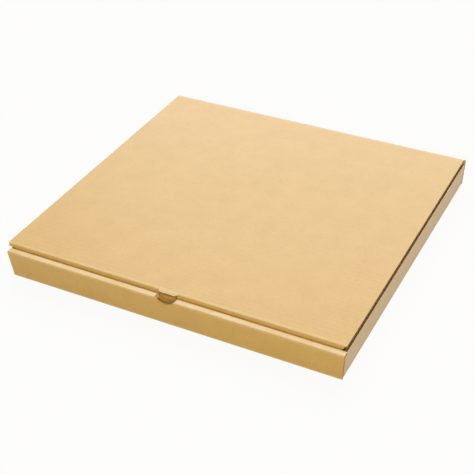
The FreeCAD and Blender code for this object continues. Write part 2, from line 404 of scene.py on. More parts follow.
def discard(piece: Piece) -> None:
    """Remove an object and its mesh.

    Args:
        piece: the object.
    """
    mesh = piece.data
    bpy.data.objects.remove(piece)
    bpy.data.meshes.remove(mesh)


def baked(source: Piece) -> bpy.types.Mesh:
    """Apply an object's modifiers and remove the object.

    Args:
        source: the object, which is used up.

    Returns:
        The plain mesh that its modifiers give.
    """
    bpy.context.view_layer.update()
    graph = bpy.context.evaluated_depsgraph_get()
    mesh = bpy.data.meshes.new_from_object(source.evaluated_get(graph))
    discard(source)
    return mesh


def cut_away(target: Piece, *cutters: Sheet) -> Piece:
    """Cut prisms out of a sheet of paper.

    Args:
        target: the sheet's object, which is used up.
        cutters: sheets of prisms; the prisms of one sheet don't meet each other.

    Returns:
        A new object of the same name.
    """
    name = target.name
    knives = [cutter.to_object(f"knife_{i}") for i, cutter in enumerate(cutters)]
    for knife in knives:
        cut = target.modifiers.new(knife.name, "BOOLEAN")
        cut.operation = "DIFFERENCE"
        cut.solver = "EXACT"
        cut.object = knife
    mesh = baked(target)
    for knife in knives:
        discard(knife)
    mesh.name = name
    return linked(name, mesh)


def joined(name: str, *parts: Piece) -> Piece:
    """Put several objects' meshes into one object; the objects themselves are removed.

    Args:
        name: the new object's name.
        parts: the objects, with the same materials in the same order.

    Returns:
        The object, linked to the scene.
    """
    work = bmesh.new()
    for part in parts:
        work.from_mesh(part.data)
    mesh = bpy.data.meshes.new(name)
    work.to_mesh(mesh)
    work.free()
    for material in parts[0].data.materials:
        mesh.materials.append(material)
    for part in parts:
        discard(part)
    return linked(name, mesh)


def linear(shade: str) -> tuple[float, float, float, float]:
    """Turn an sRGB hex value into a linear colour.

    Args:
        shade: the value, such as "c69a63".

    Returns:
        Red, green, blue and an alpha of 1.
    """
    channels = [int(shade[i:i + 2], 16) / 255 for i in (0, 2, 4)]
    red, green, blue = (c / 12.92 if c <= 0.04045 else ((c + 0.055) / 1.055) ** 2.4
                        for c in channels)
    return (red, green, blue, 1.0)


def add_node(tree: Tree, kind: str, settings: dict | None = None,
             inputs: dict | None = None) -> bpy.types.Node:
    """Add a node with its settings and links.

    Args:
        tree: the tree that gets the node.
        kind: the node's type.
        settings: the node's own properties.
        inputs: for each input, by name or place, a value or the socket that feeds it.

    Returns:
        The new node.
    """
    node = tree.nodes.new(kind)
    for key, value in (settings or {}).items():
        setattr(node, key, value)
    for key, value in (inputs or {}).items():
        if isinstance(value, Socket):
            tree.links.new(value, node.inputs[key])
        else:
            node.inputs[key].default_value = value
    return node


def empty_tree(owner: bpy.types.Material | bpy.types.World) -> Tree:
    """Switch on the nodes of a material or world and clear them.

    Args:
        owner: the material or world.

    Returns:
        Its tree, with no nodes.
    """
    owner.use_nodes = True
    owner.node_tree.nodes.clear()
    return owner.node_tree


def add_surface(tree: Tree, height: Socket, looks: dict) -> None:
    """End a paper's tree in a shader whose bump follows a height in metres.

    Args:
        tree: the paper's nodes.
        height: the socket that gives the height.
        looks: the shader's inputs.
    """
    bump = add_node(tree, "ShaderNodeBump", {}, {"Strength": 1.0, "Distance": 1.0, "Height": height})
    shader = add_node(tree, "ShaderNodeBsdfPrincipled", {}, {**looks, "Normal": bump.outputs[0]})
    add_node(tree, "ShaderNodeOutputMaterial", {}, {"Surface": shader.outputs[0]})


@dataclass(frozen=True)
class KraftLiner:
    """Brown kraft liner: unbleached long fibre paper, machine made and uncoated.

    It is matt, with a weak sheen from fibre ends, soft clouds where the fibres lie thicker,
    fine flecks, and faint ridges where the flutes show through. Along folds it turns paler:
    partly scuffed paper, partly a painted highlight where a fold catches the light.

    Attributes:
        name: the material's name.
        shade: the paper's own colour.
        cloud: its darker clouds.
        fleck: its scattered dark fibres.
        scuff_and_highlight: the paler colour at folds: scuffed paper and a painted highlight.
        ridges: the way that the flutes show through.
        cloud_size: width of a cloud in millimetres.
        fleck_size: length of a fleck; a real fibre is finer, and this is what shows.
        fleck_stretch: how many times longer a fleck is across the sheet than it is wide.
        ridge_height: how far a ridge stands out, in millimetres.
        grain_height: how far the fibres stand out, in millimetres.
        roughness: of the paper's calendered face, under the fibres.
        ior: of cellulose with some air in it.
        sheen: weight of the pale sheen that standing fibres give at a low angle.
        sheen_roughness: how widely that sheen spreads.
    """

    name: str
    shade: str
    cloud: str
    fleck: str
    scuff_and_highlight: str
    ridges: Ridges = Ridges.ALONG_RUN
    cloud_size: float = 26.0
    fleck_size: float = 2.4
    fleck_stretch: float = 0.35
    ridge_height: float = 0.03
    grain_height: float = 0.06
    roughness: float = 0.40
    ior: float = 1.45
    sheen: float = 0.22
    sheen_roughness: float = 0.5

    def material(self) -> bpy.types.Material:
        """Build the material.

        Returns:
            A material that reads Object coordinates and the attribute fold.
        """
        made = bpy.data.materials.new(self.name)
        tree = empty_tree(made)
        place = add_node(tree, "ShaderNodeTexCoord").outputs["Object"]
        clouds = add_node(tree, "ShaderNodeTexNoise", {}, {
            "Vector": place, "Scale": 1 / (self.cloud_size * MM), "Detail": 3.0, "Roughness": 0.55})
        cloud_share = add_node(tree, "ShaderNodeMapRange", {}, {
            "Value": clouds.outputs["Fac"], "From Min": 0.35, "From Max": 0.7})
        paper = add_node(tree, "ShaderNodeMix", {"data_type": "RGBA"}, {
            0: cloud_share.outputs[0], 6: linear(self.shade), 7: linear(self.cloud)})
        stretched = add_node(tree, "ShaderNodeMapping", {}, {
            "Vector": place, "Scale": (1.0, self.fleck_stretch, self.fleck_stretch)})
        flecks = add_node(tree, "ShaderNodeTexNoise", {}, {
            "Vector": stretched.outputs[0], "Scale": 1 / (self.fleck_size * MM), "Detail": 4.0,
            "Roughness": 0.7})
        fleck_share = add_node(tree, "ShaderNodeMapRange", {}, {
            "Value": flecks.outputs["Fac"], "From Min": 0.56, "From Max": 0.8, "To Max": 0.6})
        flecked = add_node(tree, "ShaderNodeMix", {"data_type": "RGBA"}, {
            0: fleck_share.outputs[0], 6: paper.outputs[2], 7: linear(self.fleck)})
        # Paler along folds: partly scuffed paper, partly a painted highlight where a fold catches the
        # light.
        fold = add_node(tree, "ShaderNodeAttribute", {"attribute_name": "fold"})
        patches = add_node(tree, "ShaderNodeMapRange", {}, {
            "Value": clouds.outputs["Fac"], "From Min": 0.25, "From Max": 0.6, "To Min": 0.35})
        scuff_and_highlight_share = add_node(tree, "ShaderNodeMath", {"operation": "MULTIPLY"}, {
            0: fold.outputs["Fac"], 1: patches.outputs[0]})
        with_scuff_and_highlight = add_node(tree, "ShaderNodeMix", {"data_type": "RGBA"}, {
            0: scuff_and_highlight_share.outputs[0], 6: flecked.outputs[2], 7: linear(self.scuff_and_highlight)})
        add_surface(tree, self.relief(tree, place, flecks.outputs["Fac"]), {
            "Base Color": with_scuff_and_highlight.outputs[2], "Roughness": self.roughness, "IOR": self.ior,
            "Sheen Weight": self.sheen, "Sheen Roughness": self.sheen_roughness})
        return made

    def relief(self, tree: Tree, place: Socket,
               grain: Socket) -> Socket:
        """The height of the paper's surface in metres: ridges over the flutes, and grain.

        Args:
            tree: the material's nodes.
            place: the Object coordinates.
            grain: a fine noise from 0 to 1.

        Returns:
            The socket that gives the height.
        """
        split = add_node(tree, "ShaderNodeSeparateXYZ", {}, {0: place})
        upright = 1.0 if self.ridges is Ridges.ALONG_RUN else 0.0
        run = add_node(tree, "ShaderNodeMath", {"operation": "MULTIPLY_ADD"}, {
            0: split.outputs["Z"], 1: upright, 2: split.outputs["Y"]})
        phase = add_node(tree, "ShaderNodeMath", {"operation": "MULTIPLY"}, {
            0: run.outputs[0], 1: 2 * math.pi / (BOARD.pitch * MM)})
        wave = add_node(tree, "ShaderNodeMath", {"operation": "SINE"}, {0: phase.outputs[0]})
        ridge = add_node(tree, "ShaderNodeMath", {"operation": "MULTIPLY"}, {
            0: wave.outputs[0], 1: self.ridge_height / 2 * MM})
        total = add_node(tree, "ShaderNodeMath", {"operation": "MULTIPLY_ADD"}, {
            0: grain, 1: self.grain_height * MM, 2: ridge.outputs[0]})
        return total.outputs[0]


@dataclass(frozen=True)
class CutPaper:
    """The die-cut edge of kraft paper, or the rough recycled paper of the flutes.

    Both are duller than a liner's face, with short fibres standing out of them.

    Attributes:
        name: the material's name.
        shade: the paper's colour.
        fibre: the colour of darker fibres in it.
        grain: size of the fibres' pattern in millimetres, coarser than real so that it shows.
        grain_height: how far the fibres stand out, in millimetres.
        roughness: of torn and cut fibres.
        ior: of cellulose.
    """

    name: str
    shade: str
    fibre: str
    grain: float = 0.8
    grain_height: float = 0.08
    roughness: float = 0.85
    ior: float = 1.5

    def material(self) -> bpy.types.Material:
        """Build the material.

        Returns:
            A material that reads Object coordinates.
        """
        made = bpy.data.materials.new(self.name)
        tree = empty_tree(made)
        place = add_node(tree, "ShaderNodeTexCoord").outputs["Object"]
        fibres = add_node(tree, "ShaderNodeTexNoise", {}, {
            "Vector": place, "Scale": 1 / (self.grain * MM), "Detail": 3.0, "Roughness": 0.7})
        colour = add_node(tree, "ShaderNodeMix", {"data_type": "RGBA"}, {
            0: fibres.outputs["Fac"], 6: linear(self.shade), 7: linear(self.fibre)})
        height = add_node(tree, "ShaderNodeMath", {"operation": "MULTIPLY"}, {
            0: fibres.outputs["Fac"], 1: self.grain_height * MM})
        add_surface(tree, height.outputs[0], {
            "Base Color": colour.outputs[2], "Roughness": self.roughness, "IOR": self.ior})
        return made


class Paints:
    """Every finish of the box, made once and shared by its pieces."""

    def __init__(self) -> None:
        """Make the materials: for each way of the flutes, one for each skin."""
        faces = {
            # The last colour of each face is the paler one at folds: scuffed paper and a painted
            # highlight.
            "outside": dict(shade="e0b258", cloud="dbac53", fleck="b98846", scuff_and_highlight="f6d292"),
            "inside": dict(shade="d6a553", cloud="cf9e4d", fleck="a97a3e", scuff_and_highlight="e6c286"),
        }
        cut = CutPaper("die_cut_kraft_edge", "dcb37a", "c0925a").material()
        self.medium = CutPaper("fluted_recycled_medium", "b08a56", "8f6a3c").material()
        self.sets = {}
        for ridges, ending in ((Ridges.ALONG_RUN, ""), (Ridges.ALONG_WALL, "_upright_flutes")):
            liners = [KraftLiner(f"kraft_testliner_{face}{ending}", ridges=ridges, **shades).material()
                      for face, shades in faces.items()]
            self.sets[ridges] = [*liners, cut, self.medium]

    def dress(self, piece: Piece, ridges: Ridges = Ridges.ALONG_RUN) -> None:
        """Give a piece its materials, in the order of the skins.

        Clearing the old ones sets every face back to the first slot. So the whole piece shows
        the outside liner, and the other skins don't show on it.

        Args:
            piece: the piece, whose faces have a skin each.
            ridges: the way its flutes lie.
        """
        piece.data.materials.clear()
        for material in self.sets[ridges]:
            piece.data.materials.append(material)


@dataclass(frozen=True)
class FlutePanel:
    """A stretch of the wavy medium inside one flat panel.

    Attributes:
        corner: where the stretch begins, in metres, in the middle of the board.
        run: the way across the flutes, in metres for each millimetre.
        along: the way along the flutes.
        normal: the way out of the board.
        length: length across the flutes in millimetres.
        depth: length along the flutes; 12 is as deep as a cut edge lets one see.
    """

    corner: Vector
    run: Vector
    along: Vector
    normal: Vector
    length: float
    depth: float = 12.0

    def matrix(self) -> Matrix:
        """The turn, scale and shift from the flat stretch to its place.

        Returns:
            The matrix, in metres.
        """
        columns = Matrix((self.run, self.along, self.normal)).transposed().to_4x4()
        columns.translation = self.corner
        return columns


class Fluting:
    """The wavy medium, made by one tree of geometry nodes for every panel."""

    POINTS_PER_FLUTE = 14
    INPUTS = {
        "Length": "Float", "Depth": "Float", "Pitch": "Float", "Height": "Float",
        "Paper": "Float", "Points": "Int", "Material": "Material",
    }
    # Each row gives a result its name, and says how two numbers or earlier results make it.
    SUMS = (
        ("run share", "ADD", "X", 0.5),
        ("run", "MULTIPLY", "run share", "Length"),
        ("depth share", "ADD", "Y", 0.5),
        ("across", "MULTIPLY", "depth share", "Depth"),
        ("turns", "DIVIDE", "run", "Pitch"),
        ("phase", "MULTIPLY", "turns", 2 * math.pi),
        ("wave", "SINE", "phase", 0.0),
        ("half height", "MULTIPLY", "Height", 0.5),
        ("middle", "MULTIPLY", "wave", "half height"),
        ("half paper", "MULTIPLY", "Paper", 0.5),
        ("low", "SUBTRACT", "middle", "half paper"),
    )

    def __init__(self, medium: bpy.types.Material) -> None:
        """Build the node tree.

        Args:
            medium: the finish of the fluted paper.
        """
        self.medium = medium
        self.tree = bpy.data.node_groups.new("fluted_medium", "GeometryNodeTree")
        panel = self.tree.interface
        self.sockets = {
            name: panel.new_socket(name, in_out="INPUT", socket_type=f"NodeSocket{kind}").identifier
            for name, kind in self.INPUTS.items()
        }
        panel.new_socket("Geometry", in_out="OUTPUT", socket_type="NodeSocketGeometry")
        self.build()

    def build(self) -> None:
        """Lay a strip of paper in waves, and give it its thickness on both sides."""
        tree = self.tree
        given = add_node(tree, "NodeGroupInput").outputs
        grid = add_node(tree, "GeometryNodeMeshGrid", {}, {
            "Size X": 1.0, "Size Y": 1.0, "Vertices X": given["Points"], "Vertices Y": 2})
        spot = add_node(tree, "GeometryNodeInputPosition")
        split = add_node(tree, "ShaderNodeSeparateXYZ", {}, {0: spot.outputs[0]})
        known = {socket.name: socket for socket in (*given, *split.outputs)}
        for name, operation, first, second in self.SUMS:
            known[name] = add_node(tree, "ShaderNodeMath", {"operation": operation}, {
                0: known.get(first, first), 1: known.get(second, second)}).outputs[0]
        place = add_node(tree, "ShaderNodeCombineXYZ", {}, {
            0: known["run"], 1: known["across"], 2: known["low"]})
        sheet = add_node(tree, "GeometryNodeSetPosition", {}, {
            "Geometry": grid.outputs["Mesh"], "Position": place.outputs[0]})
        thick = add_node(tree, "GeometryNodeExtrudeMesh", {}, {
            "Mesh": sheet.outputs[0], "Offset Scale": given["Paper"], "Individual": False})
        underside = add_node(tree, "GeometryNodeFlipFaces", {}, {0: sheet.outputs[0]})
        both = add_node(tree, "GeometryNodeJoinGeometry")
        tree.links.new(thick.outputs["Mesh"], both.inputs[0])
        tree.links.new(underside.outputs[0], both.inputs[0])
        closed = add_node(tree, "GeometryNodeMergeByDistance", {}, {
            "Geometry": both.outputs[0], "Distance": 0.001})
        real = add_node(tree, "GeometryNodeRealizeInstances", {}, {0: closed.outputs[0]})
        dressed = add_node(tree, "GeometryNodeSetMaterial", {}, {
            "Geometry": real.outputs[0], "Material": given["Material"]})
        add_node(tree, "NodeGroupOutput", {}, {0: dressed.outputs[0]})

    def panel_mesh(self, panel: FlutePanel) -> bpy.types.Mesh:
        """The waves of one panel as a plain mesh in its place.

        Args:
            panel: the stretch to fill.

        Returns:
            A closed mesh.
        """
        carrier = linked("flute_carrier", bpy.data.meshes.new("flute_carrier"))
        modifier = carrier.modifiers.new("waves", "NODES")
        modifier.node_group = self.tree
        core = BOARD.thickness - 2 * (BOARD.liner + BOARD.play)
        values = {
            "Length": panel.length, "Depth": panel.depth, "Pitch": BOARD.pitch,
            "Height": core - BOARD.paper, "Paper": BOARD.paper,
            "Points": max(3, round(panel.length / BOARD.pitch * self.POINTS_PER_FLUTE)) + 1,
            "Material": self.medium,
        }
        for name, value in values.items():
            modifier[self.sockets[name]] = value
        mesh = baked(carrier)
        mesh.transform(panel.matrix())
        turn_outwards(mesh)
        return mesh

    def fill(self, name: str, panels: Iterable[FlutePanel]) -> Piece:
        """One object with the waves of several panels.

        Args:
            name: the object's name.
            panels: the stretches to fill.

        Returns:
            The object, linked to the scene.
        """
        work = bmesh.new()
        for panel in panels:
            mesh = self.panel_mesh(panel)
            work.from_mesh(mesh)
            bpy.data.meshes.remove(mesh)
        waves = bpy.data.meshes.new(name)
        work.to_mesh(waves)
        work.free()
        waves.materials.append(self.medium)
        return linked(name, waves)


def smooth(piece: Piece, sharpest: float = 35.0) -> None:
    """Shade a piece smooth, apart from edges sharper than an angle in degrees."""
    piece.data.shade_smooth()
    piece.data.set_sharp_from_angle(angle=math.radians(sharpest))


def paint_scuff_and_highlight(piece: Piece, at: Layout, folds: Sequence[Point], wear: float = 1.0,
              width: float = 3.2) -> None:
    """Mark a piece's vertices with how near they lie to a fold, from 0 to 1.

    The mark turns the paper paler there: partly scuffed, partly a painted highlight.

    Args:
        piece: the piece.
        at: the places that the folds are counted from.
        folds: the middles of the paler stretches in the section, in Y and Z.
        wear: how strong the paler colour is on the fold itself, from 0 to 1.
        width: how far the paler colour reaches from a fold, in millimetres.
    """
    marks = piece.data.attributes.new("fold", "FLOAT", "POINT")
    for vertex, value in zip(piece.data.vertices, marks.data):
        y, z = vertex.co.y / MM - at.front, vertex.co.z / MM
        nearest = min(math.hypot(y - fy, z - fz) for fy, fz in folds)
        value.value = wear * max(0.0, 1 - nearest / width)


@dataclass
class TraySheet:
    """The tray: one run of panels from the rolled front wall to the back wall, and the side walls.

    Attributes:
        at: the places shared with the lid.
        fluting: what draws the board's flutes.
        paints: the finishes.
        front_tab: length of the side walls' front tabs.
        rear_tab: length of their rear tabs.
        rear_tab_cut: bevel on a rear tab's upper corner.
        seam_gap: side play of the inner front panel.
        tongue: width of a tongue under the inner front panel.
        tongue_spacing: from one tongue's middle to the other's.
        slot_play: play of a tongue in its slot.
        notch_reach: how far the notch's knife reaches past the inner front panel.
        scuff_and_highlight_inset: from the strip's edges to the middle of their paler stretches.
        run_mesh: longest stretch along the run of panels, and how many shares across it.
        wall_mesh: the same for a side wall.
        notch_chords: how many chords stand for the notch's arc.
    """

    at: Layout
    fluting: Fluting
    paints: Paints
    front_tab: float = 72.0
    rear_tab: float = 58.0
    rear_tab_cut: float = 9.0
    seam_gap: float = 0.6
    tongue: float = 42.0
    tongue_spacing: float = 206.0
    slot_play: float = 0.4
    notch_reach: float = 0.4
    scuff_and_highlight_inset: float = 1.6
    run_mesh: tuple[float, int] = (14.0, 24)
    wall_mesh: tuple[float, int] = (12.0, 28)
    notch_chords: int = 24

    def build(self) -> list[Piece]:
        """Build, dress and attach the tray's pieces.

        Returns:
            The run of panels, the side walls and the flutes.
        """
        at = self.at
        pieces = [self.main_run(), self.side_walls(), self.flutes()]
        run, walls, _ = pieces
        self.paints.dress(run)
        self.paints.dress(walls, Ridges.ALONG_WALL)
        # The strip's two folds and the bottom's two folds turn paler: scuffed paper and a painted
        # highlight.
        paint_scuff_and_highlight(run, at, [(self.scuff_and_highlight_inset, at.height), (at.strip - self.scuff_and_highlight_inset, at.height),
                            (0.0, 0.0), (at.depth, 0.0)])
        for piece in pieces:
            smooth(piece)
            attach(piece, "tray")
        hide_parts("base_tray")
        return pieces

    def outer_path(self) -> list[Point]:
        """The outside liner, from the inner front panel's foot to below the crease.

        Returns:
            The path's corners, with its folds as arcs.
        """
        at, r = self.at, self.at.crease
        return [
            (at.strip, at.floor_top),
            *arc((at.strip - r, at.height - r), r, 0, 90),
            *arc((r, at.height - r), r, 90, 90),
            *arc((r, r), r, 180, 90),
            *arc((at.depth - r, r), r, 270, 90),
            (at.depth, at.wall_seam),
        ]

    def inner_path(self) -> list[Point]:
        """The inside liner, from the inner front panel's foot to the crease.

        Returns:
            The path's corners.
        """
        at, thick = self.at, BOARD.thickness
        top = at.height - thick
        tip = BOARD.liner * math.sqrt(2)
        return [
            (at.inner_face, at.floor_top), (at.inner_face, top), (thick, top), (thick, thick),
            (at.depth - thick, thick), (at.depth - thick, at.lid_under),
            (at.hinge_y - tip, at.hinge_z - tip),
        ]

    def main_run(self) -> Piece:
        """Make the inner front panel, strip, front wall, bottom and back wall.

        Returns:
            The whole sheet, cut to shape, with its tongues and the notch's rims.
        """
        at = self.at

        def place(y: float, z: float, w: float) -> Vector:
            """A vertex at a share of the width between the side walls."""
            left, right = at.wall_x(-1, z), at.wall_x(1, z)
            return at.in_frame(left + (right - left) * w, y, z)

        step, shares = self.run_mesh
        sheet = Sheet()
        sheet.add_board(refined(self.outer_path(), step), refined(self.inner_path(), step), place,
                        even(shares))
        run = cut_away(sheet.to_object("tray_run"), self.blank_knife(), self.panel_end_knife())
        return joined("tray_sheet", run, self.tongues(), self.notch_rims())

    def tongues(self) -> Piece:
        """Make the inner front panel's two tongues, which stand in their slots.

        Returns:
            The tongues' object.
        """
        at, sheet = self.at, Sheet()
        for side in (-1, 1):
            middle = at.middle + self.tongue_spacing / 2 * side

            def place(y: float, z: float, w: float) -> Vector:
                """A vertex at a share of the tongue's width."""
                return at.in_frame(middle + self.tongue * (w - 0.5), y, z)

            outer, inner = ([(face, 0.0), (face, at.floor_top)] for face in (at.strip, at.inner_face))
            sheet.add_board(outer, inner, place, even(1))
        return sheet.to_object("tongues")

    def notch_rims(self) -> Piece:
        """The crushed paper that closes both plies and the strip round the notch.

        Returns:
            The rims' object.
        """
        at, liner, thick, r = self.at, BOARD.liner, BOARD.thickness, self.at.crease
        edge = [p for p in self.notch_arc(2 * self.notch_chords) if p[1] <= at.height - liner]
        strip_edge = [p for p in edge if p[1] >= at.height - thick + liner]
        left = [p for p in strip_edge if p[0] < at.notch_middle]
        right = [p for p in strip_edge if p[0] > at.notch_middle]
        front_ply, strip = (liner, thick - liner), (thick - liner, at.inner_face + liner)
        inner_ply = (at.inner_face + liner, at.strip - liner)
        sheet = Sheet()
        for path, (front, back) in ((edge, front_ply), (edge, inner_ply), (left, strip),
                                    (right, strip)):

            def place(x: float, z: float, w: float) -> Vector:
                """Place a vertex, kept inside the round of the wall's folds.

                Args:
                    x: across the box.
                    z: from the floor.
                    w: share of the rim's width.

                Returns:
                    The place in the frame.
                """
                above = max(0.0, z - (at.height - r))
                inset = liner + r - math.sqrt(r * r - above * above)
                y = front + (back - front) * w
                return at.in_frame(x, min(max(y, inset), at.strip - inset), z)

            sheet.add_leaf(path, shifted(path, -BOARD.paper), place, even(2), Skin.CUT)
        return sheet.to_object("notch_rims")

    def notch_arc(self, steps: int) -> list[Point]:
        """The thumb notch's edge from left to right, in X and Z.

        Args:
            steps: how many chords stand for the arc.

        Returns:
            steps + 1 points.
        """
        at = self.at
        reach, drop = at.notch[0] / 2, at.notch[1]
        radius = (reach * reach + drop * drop) / (2 * drop)
        half_sweep = math.degrees(math.asin(reach / radius))
        centre = (at.notch_middle, at.height - drop + radius)
        return arc(centre, radius, 270 - half_sweep, 2 * half_sweep, steps)

    def blank_knife(self) -> Sheet:
        """The thumb notch, the tongues' slots and the waste beside the bottom.

        Returns:
            The prisms to cut away.
        """
        at, knife = self.at, Sheet()
        thick, play = BOARD.thickness, self.slot_play
        edge = self.notch_arc(self.notch_chords)
        above = at.height + PAST
        outline = [(edge[0][0], above), *edge, (edge[-1][0], above)]
        knife.add_prism(outline, -PAST, at.strip + self.notch_reach, at.upright)
        for side in (-1, 1):
            near = at.middle + (at.half_width - thick) * side
            middle = at.middle + self.tongue_spacing / 2 * side
            waste = rectangle(near, thick, near + WASTE * side, at.depth - thick)
            slot = rectangle(middle - self.tongue / 2 - play, at.inner_face - play,
                             middle + self.tongue / 2 + play, at.strip + play)
            for outline in (waste, slot):
                knife.add_prism(outline, -PAST, thick + NICK, at.in_frame)
        return knife

    def panel_end_knife(self) -> Sheet:
        """What the inner front panel is shorter by, between the side walls.

        Returns:
            The prisms to cut away.
        """
        at, knife = self.at, Sheet()
        low = BOARD.thickness + NICK / 2
        for side in (-1, 1):
            near = at.middle + (at.half_width - BOARD.thickness - self.seam_gap) * side
            outline = rectangle(near, low, near + WASTE * side, at.height - BOARD.thickness)
            knife.add_prism(outline, low, at.strip + PAST, at.upright)
        return knife

    def side_walls(self) -> Piece:
        """Make both side walls with their bottom folds, corner folds and tabs.

        Returns:
            The walls' object.
        """
        walls, tabs = Sheet(), Sheet()
        for side in (-1, 1):
            self.add_wall(walls, side)
            self.add_corner_and_tab(tabs, side, rear=False)
            self.add_corner_and_tab(tabs, side, rear=True)
        return joined("tray_side_walls",
                      cut_away(walls.to_object("walls"), self.under_strip_knife()),
                      cut_away(tabs.to_object("tabs"), self.bevel_knife()))

    def add_wall(self, sheet: Sheet, side: int) -> None:
        """Add a side wall as a section that runs up from the bottom's edge.

        Args:
            sheet: the mesh in the making.
            side: -1 for the left wall and 1 for the right one.
        """
        at, r, thick = self.at, self.at.crease, BOARD.thickness
        lean = at.lean(side)
        tangent = r * (math.hypot(lean, at.height) - lean) / at.height
        lean_angle = math.degrees(math.atan2(lean, at.height))
        top_lean = lean + at.half_width
        outer = [
            (at.half_width - thick, 0.0),
            *arc((at.half_width - tangent, r), r, 270, 90 - lean_angle),
            (top_lean, at.height),
        ]
        inner = [
            (at.half_width - thick, thick),
            (at.half_width - thick + lean * thick / at.height, thick),
            (top_lean - thick, at.height),
        ]
        start, end = at.ply_front + thick, at.ply_back - thick

        def place(q: float, z: float, w: float) -> Vector:
            """A vertex at a share of the wall's length."""
            return at.in_frame(at.middle + q * side, start + (end - start) * w, z)

        step, shares = self.wall_mesh
        sheet.add_board(refined(outer, step), refined(inner, step), place, even(shares))

    def add_corner_and_tab(self, sheet: Sheet, side: int, rear: bool) -> None:
        """Add the fold at one end of a side wall and the tab behind it.

        Args:
            sheet: the mesh in the making.
            side: -1 for the left wall and 1 for the right one.
            rear: whether the tab lies along the back wall, not in the front wall.
        """
        at, r, thick = self.at, self.at.crease, BOARD.thickness
        length = self.rear_tab if rear else self.front_tab
        face, turn = (at.ply_back, -1) if rear else (at.ply_front, 1)
        back = face + thick * turn
        outer = [
            (at.half_width - length, face),
            *arc((at.half_width - r, face + r * turn), r, -90 * turn, 90 * turn),
            (at.half_width, back),
        ]
        inner = [(at.half_width - length, back), (at.half_width - thick, back)]
        lean = at.lean(side)

        def place(q: float, y: float, w: float) -> Vector:
            """A vertex at a share of the height under the strip, leaning with the wall."""
            z = at.floor_top + (at.under_strip - at.floor_top) * w
            return at.in_frame(at.middle + (q + lean * z / at.height) * side, y, z)

        sheet.add_board(outer, inner, place, even(2), turn)

    def under_strip_knife(self) -> Sheet:
        """What the side walls are lower by under the front strip.

        Returns:
            The prisms to cut away.
        """
        at, knife = self.at, Sheet()
        for side in (-1, 1):
            near, far = (at.middle + (at.half_width + reach) * side for reach in (-WASTE, WASTE))
            outline = rectangle(near, 0.0, far, at.strip + at.ply_gap)
            knife.add_prism(outline, at.under_strip, at.height + PAST, at.in_frame)
        return knife

    def bevel_knife(self) -> Sheet:
        """The bevels on the rear tabs' upper corners.

        Returns:
            The prisms to cut away.
        """
        at, knife, cut = self.at, Sheet(), self.rear_tab_cut
        top = at.under_strip
        for side in (-1, 1):
            tip = at.wall_x(side, top, self.rear_tab)
            outside, inside = tip - TRIM * side, tip + cut * side
            outline = [(outside, top - cut), (tip, top - cut), (inside, top), (inside, top + PAST),
                       (outside, top + PAST)]
            knife.add_prism(outline, at.ply_back - BOARD.thickness - NICK, at.ply_back + NICK,
                            at.upright)
        return knife

    def flutes(self) -> Piece:
        """Make the flutes that show in the tray's cut edges.

        Returns:
            The waves as one object.
        """
        ends = []
        for side in (-1, 1):
            ends += [*self.end_panels(side), self.crown_panel(side)]
        tabs = self.fluting.fill("tab_flutes", [self.tab_panel(side) for side in (-1, 1)])
        return joined("tray_flutes", self.fluting.fill("end_flutes", ends),
                      cut_away(tabs, self.bevel_knife()))

    def end_panels(self, side: int) -> list[FlutePanel]:
        """The flutes in the front wall's, back wall's and strip's ends.

        Args:
            side: -1 for the left ends and 1 for the right ones.

        Returns:
            Three stretches to fill.
        """
        at, r, half = self.at, self.at.crease, BOARD.thickness / 2
        foot, inwards, top = at.wall_x(side, r), RIGHT * -side, at.height - half
        walls = [
            FlutePanel(at.in_frame(foot, y, r), at.up(side), inwards, BACK, at.height - 2 * r)
            for y in (half, at.depth - half)
        ]
        strip = FlutePanel(at.in_frame(at.wall_x(side, top), r, top), BACK, inwards, UP,
                           at.strip - 2 * r)
        return [*walls, strip]

    def crown_panel(self, side: int) -> FlutePanel:
        """The upright flutes in a side wall's top edge.

        Args:
            side: -1 for the left wall and 1 for the right one.

        Returns:
            The stretch to fill.
        """
        at = self.at
        start = at.strip + at.ply_gap
        top = at.wall_x(side, at.height, BOARD.thickness / 2)
        return FlutePanel(at.in_frame(top, start, at.height), BACK, -at.up(side), RIGHT * side,
                          at.ply_back - BOARD.thickness - start)

    def tab_panel(self, side: int) -> FlutePanel:
        """The upright flutes in a rear tab's top edge.

        Args:
            side: -1 for the left tab and 1 for the right one.

        Returns:
            The stretch to fill.
        """
        at = self.at
        start = at.wall_x(side, at.under_strip, BOARD.thickness)
        corner = at.in_frame(start, at.ply_back - BOARD.thickness / 2, at.under_strip)
        return FlutePanel(corner, RIGHT * -side, -at.up(side), BACK, self.rear_tab - BOARD.thickness)


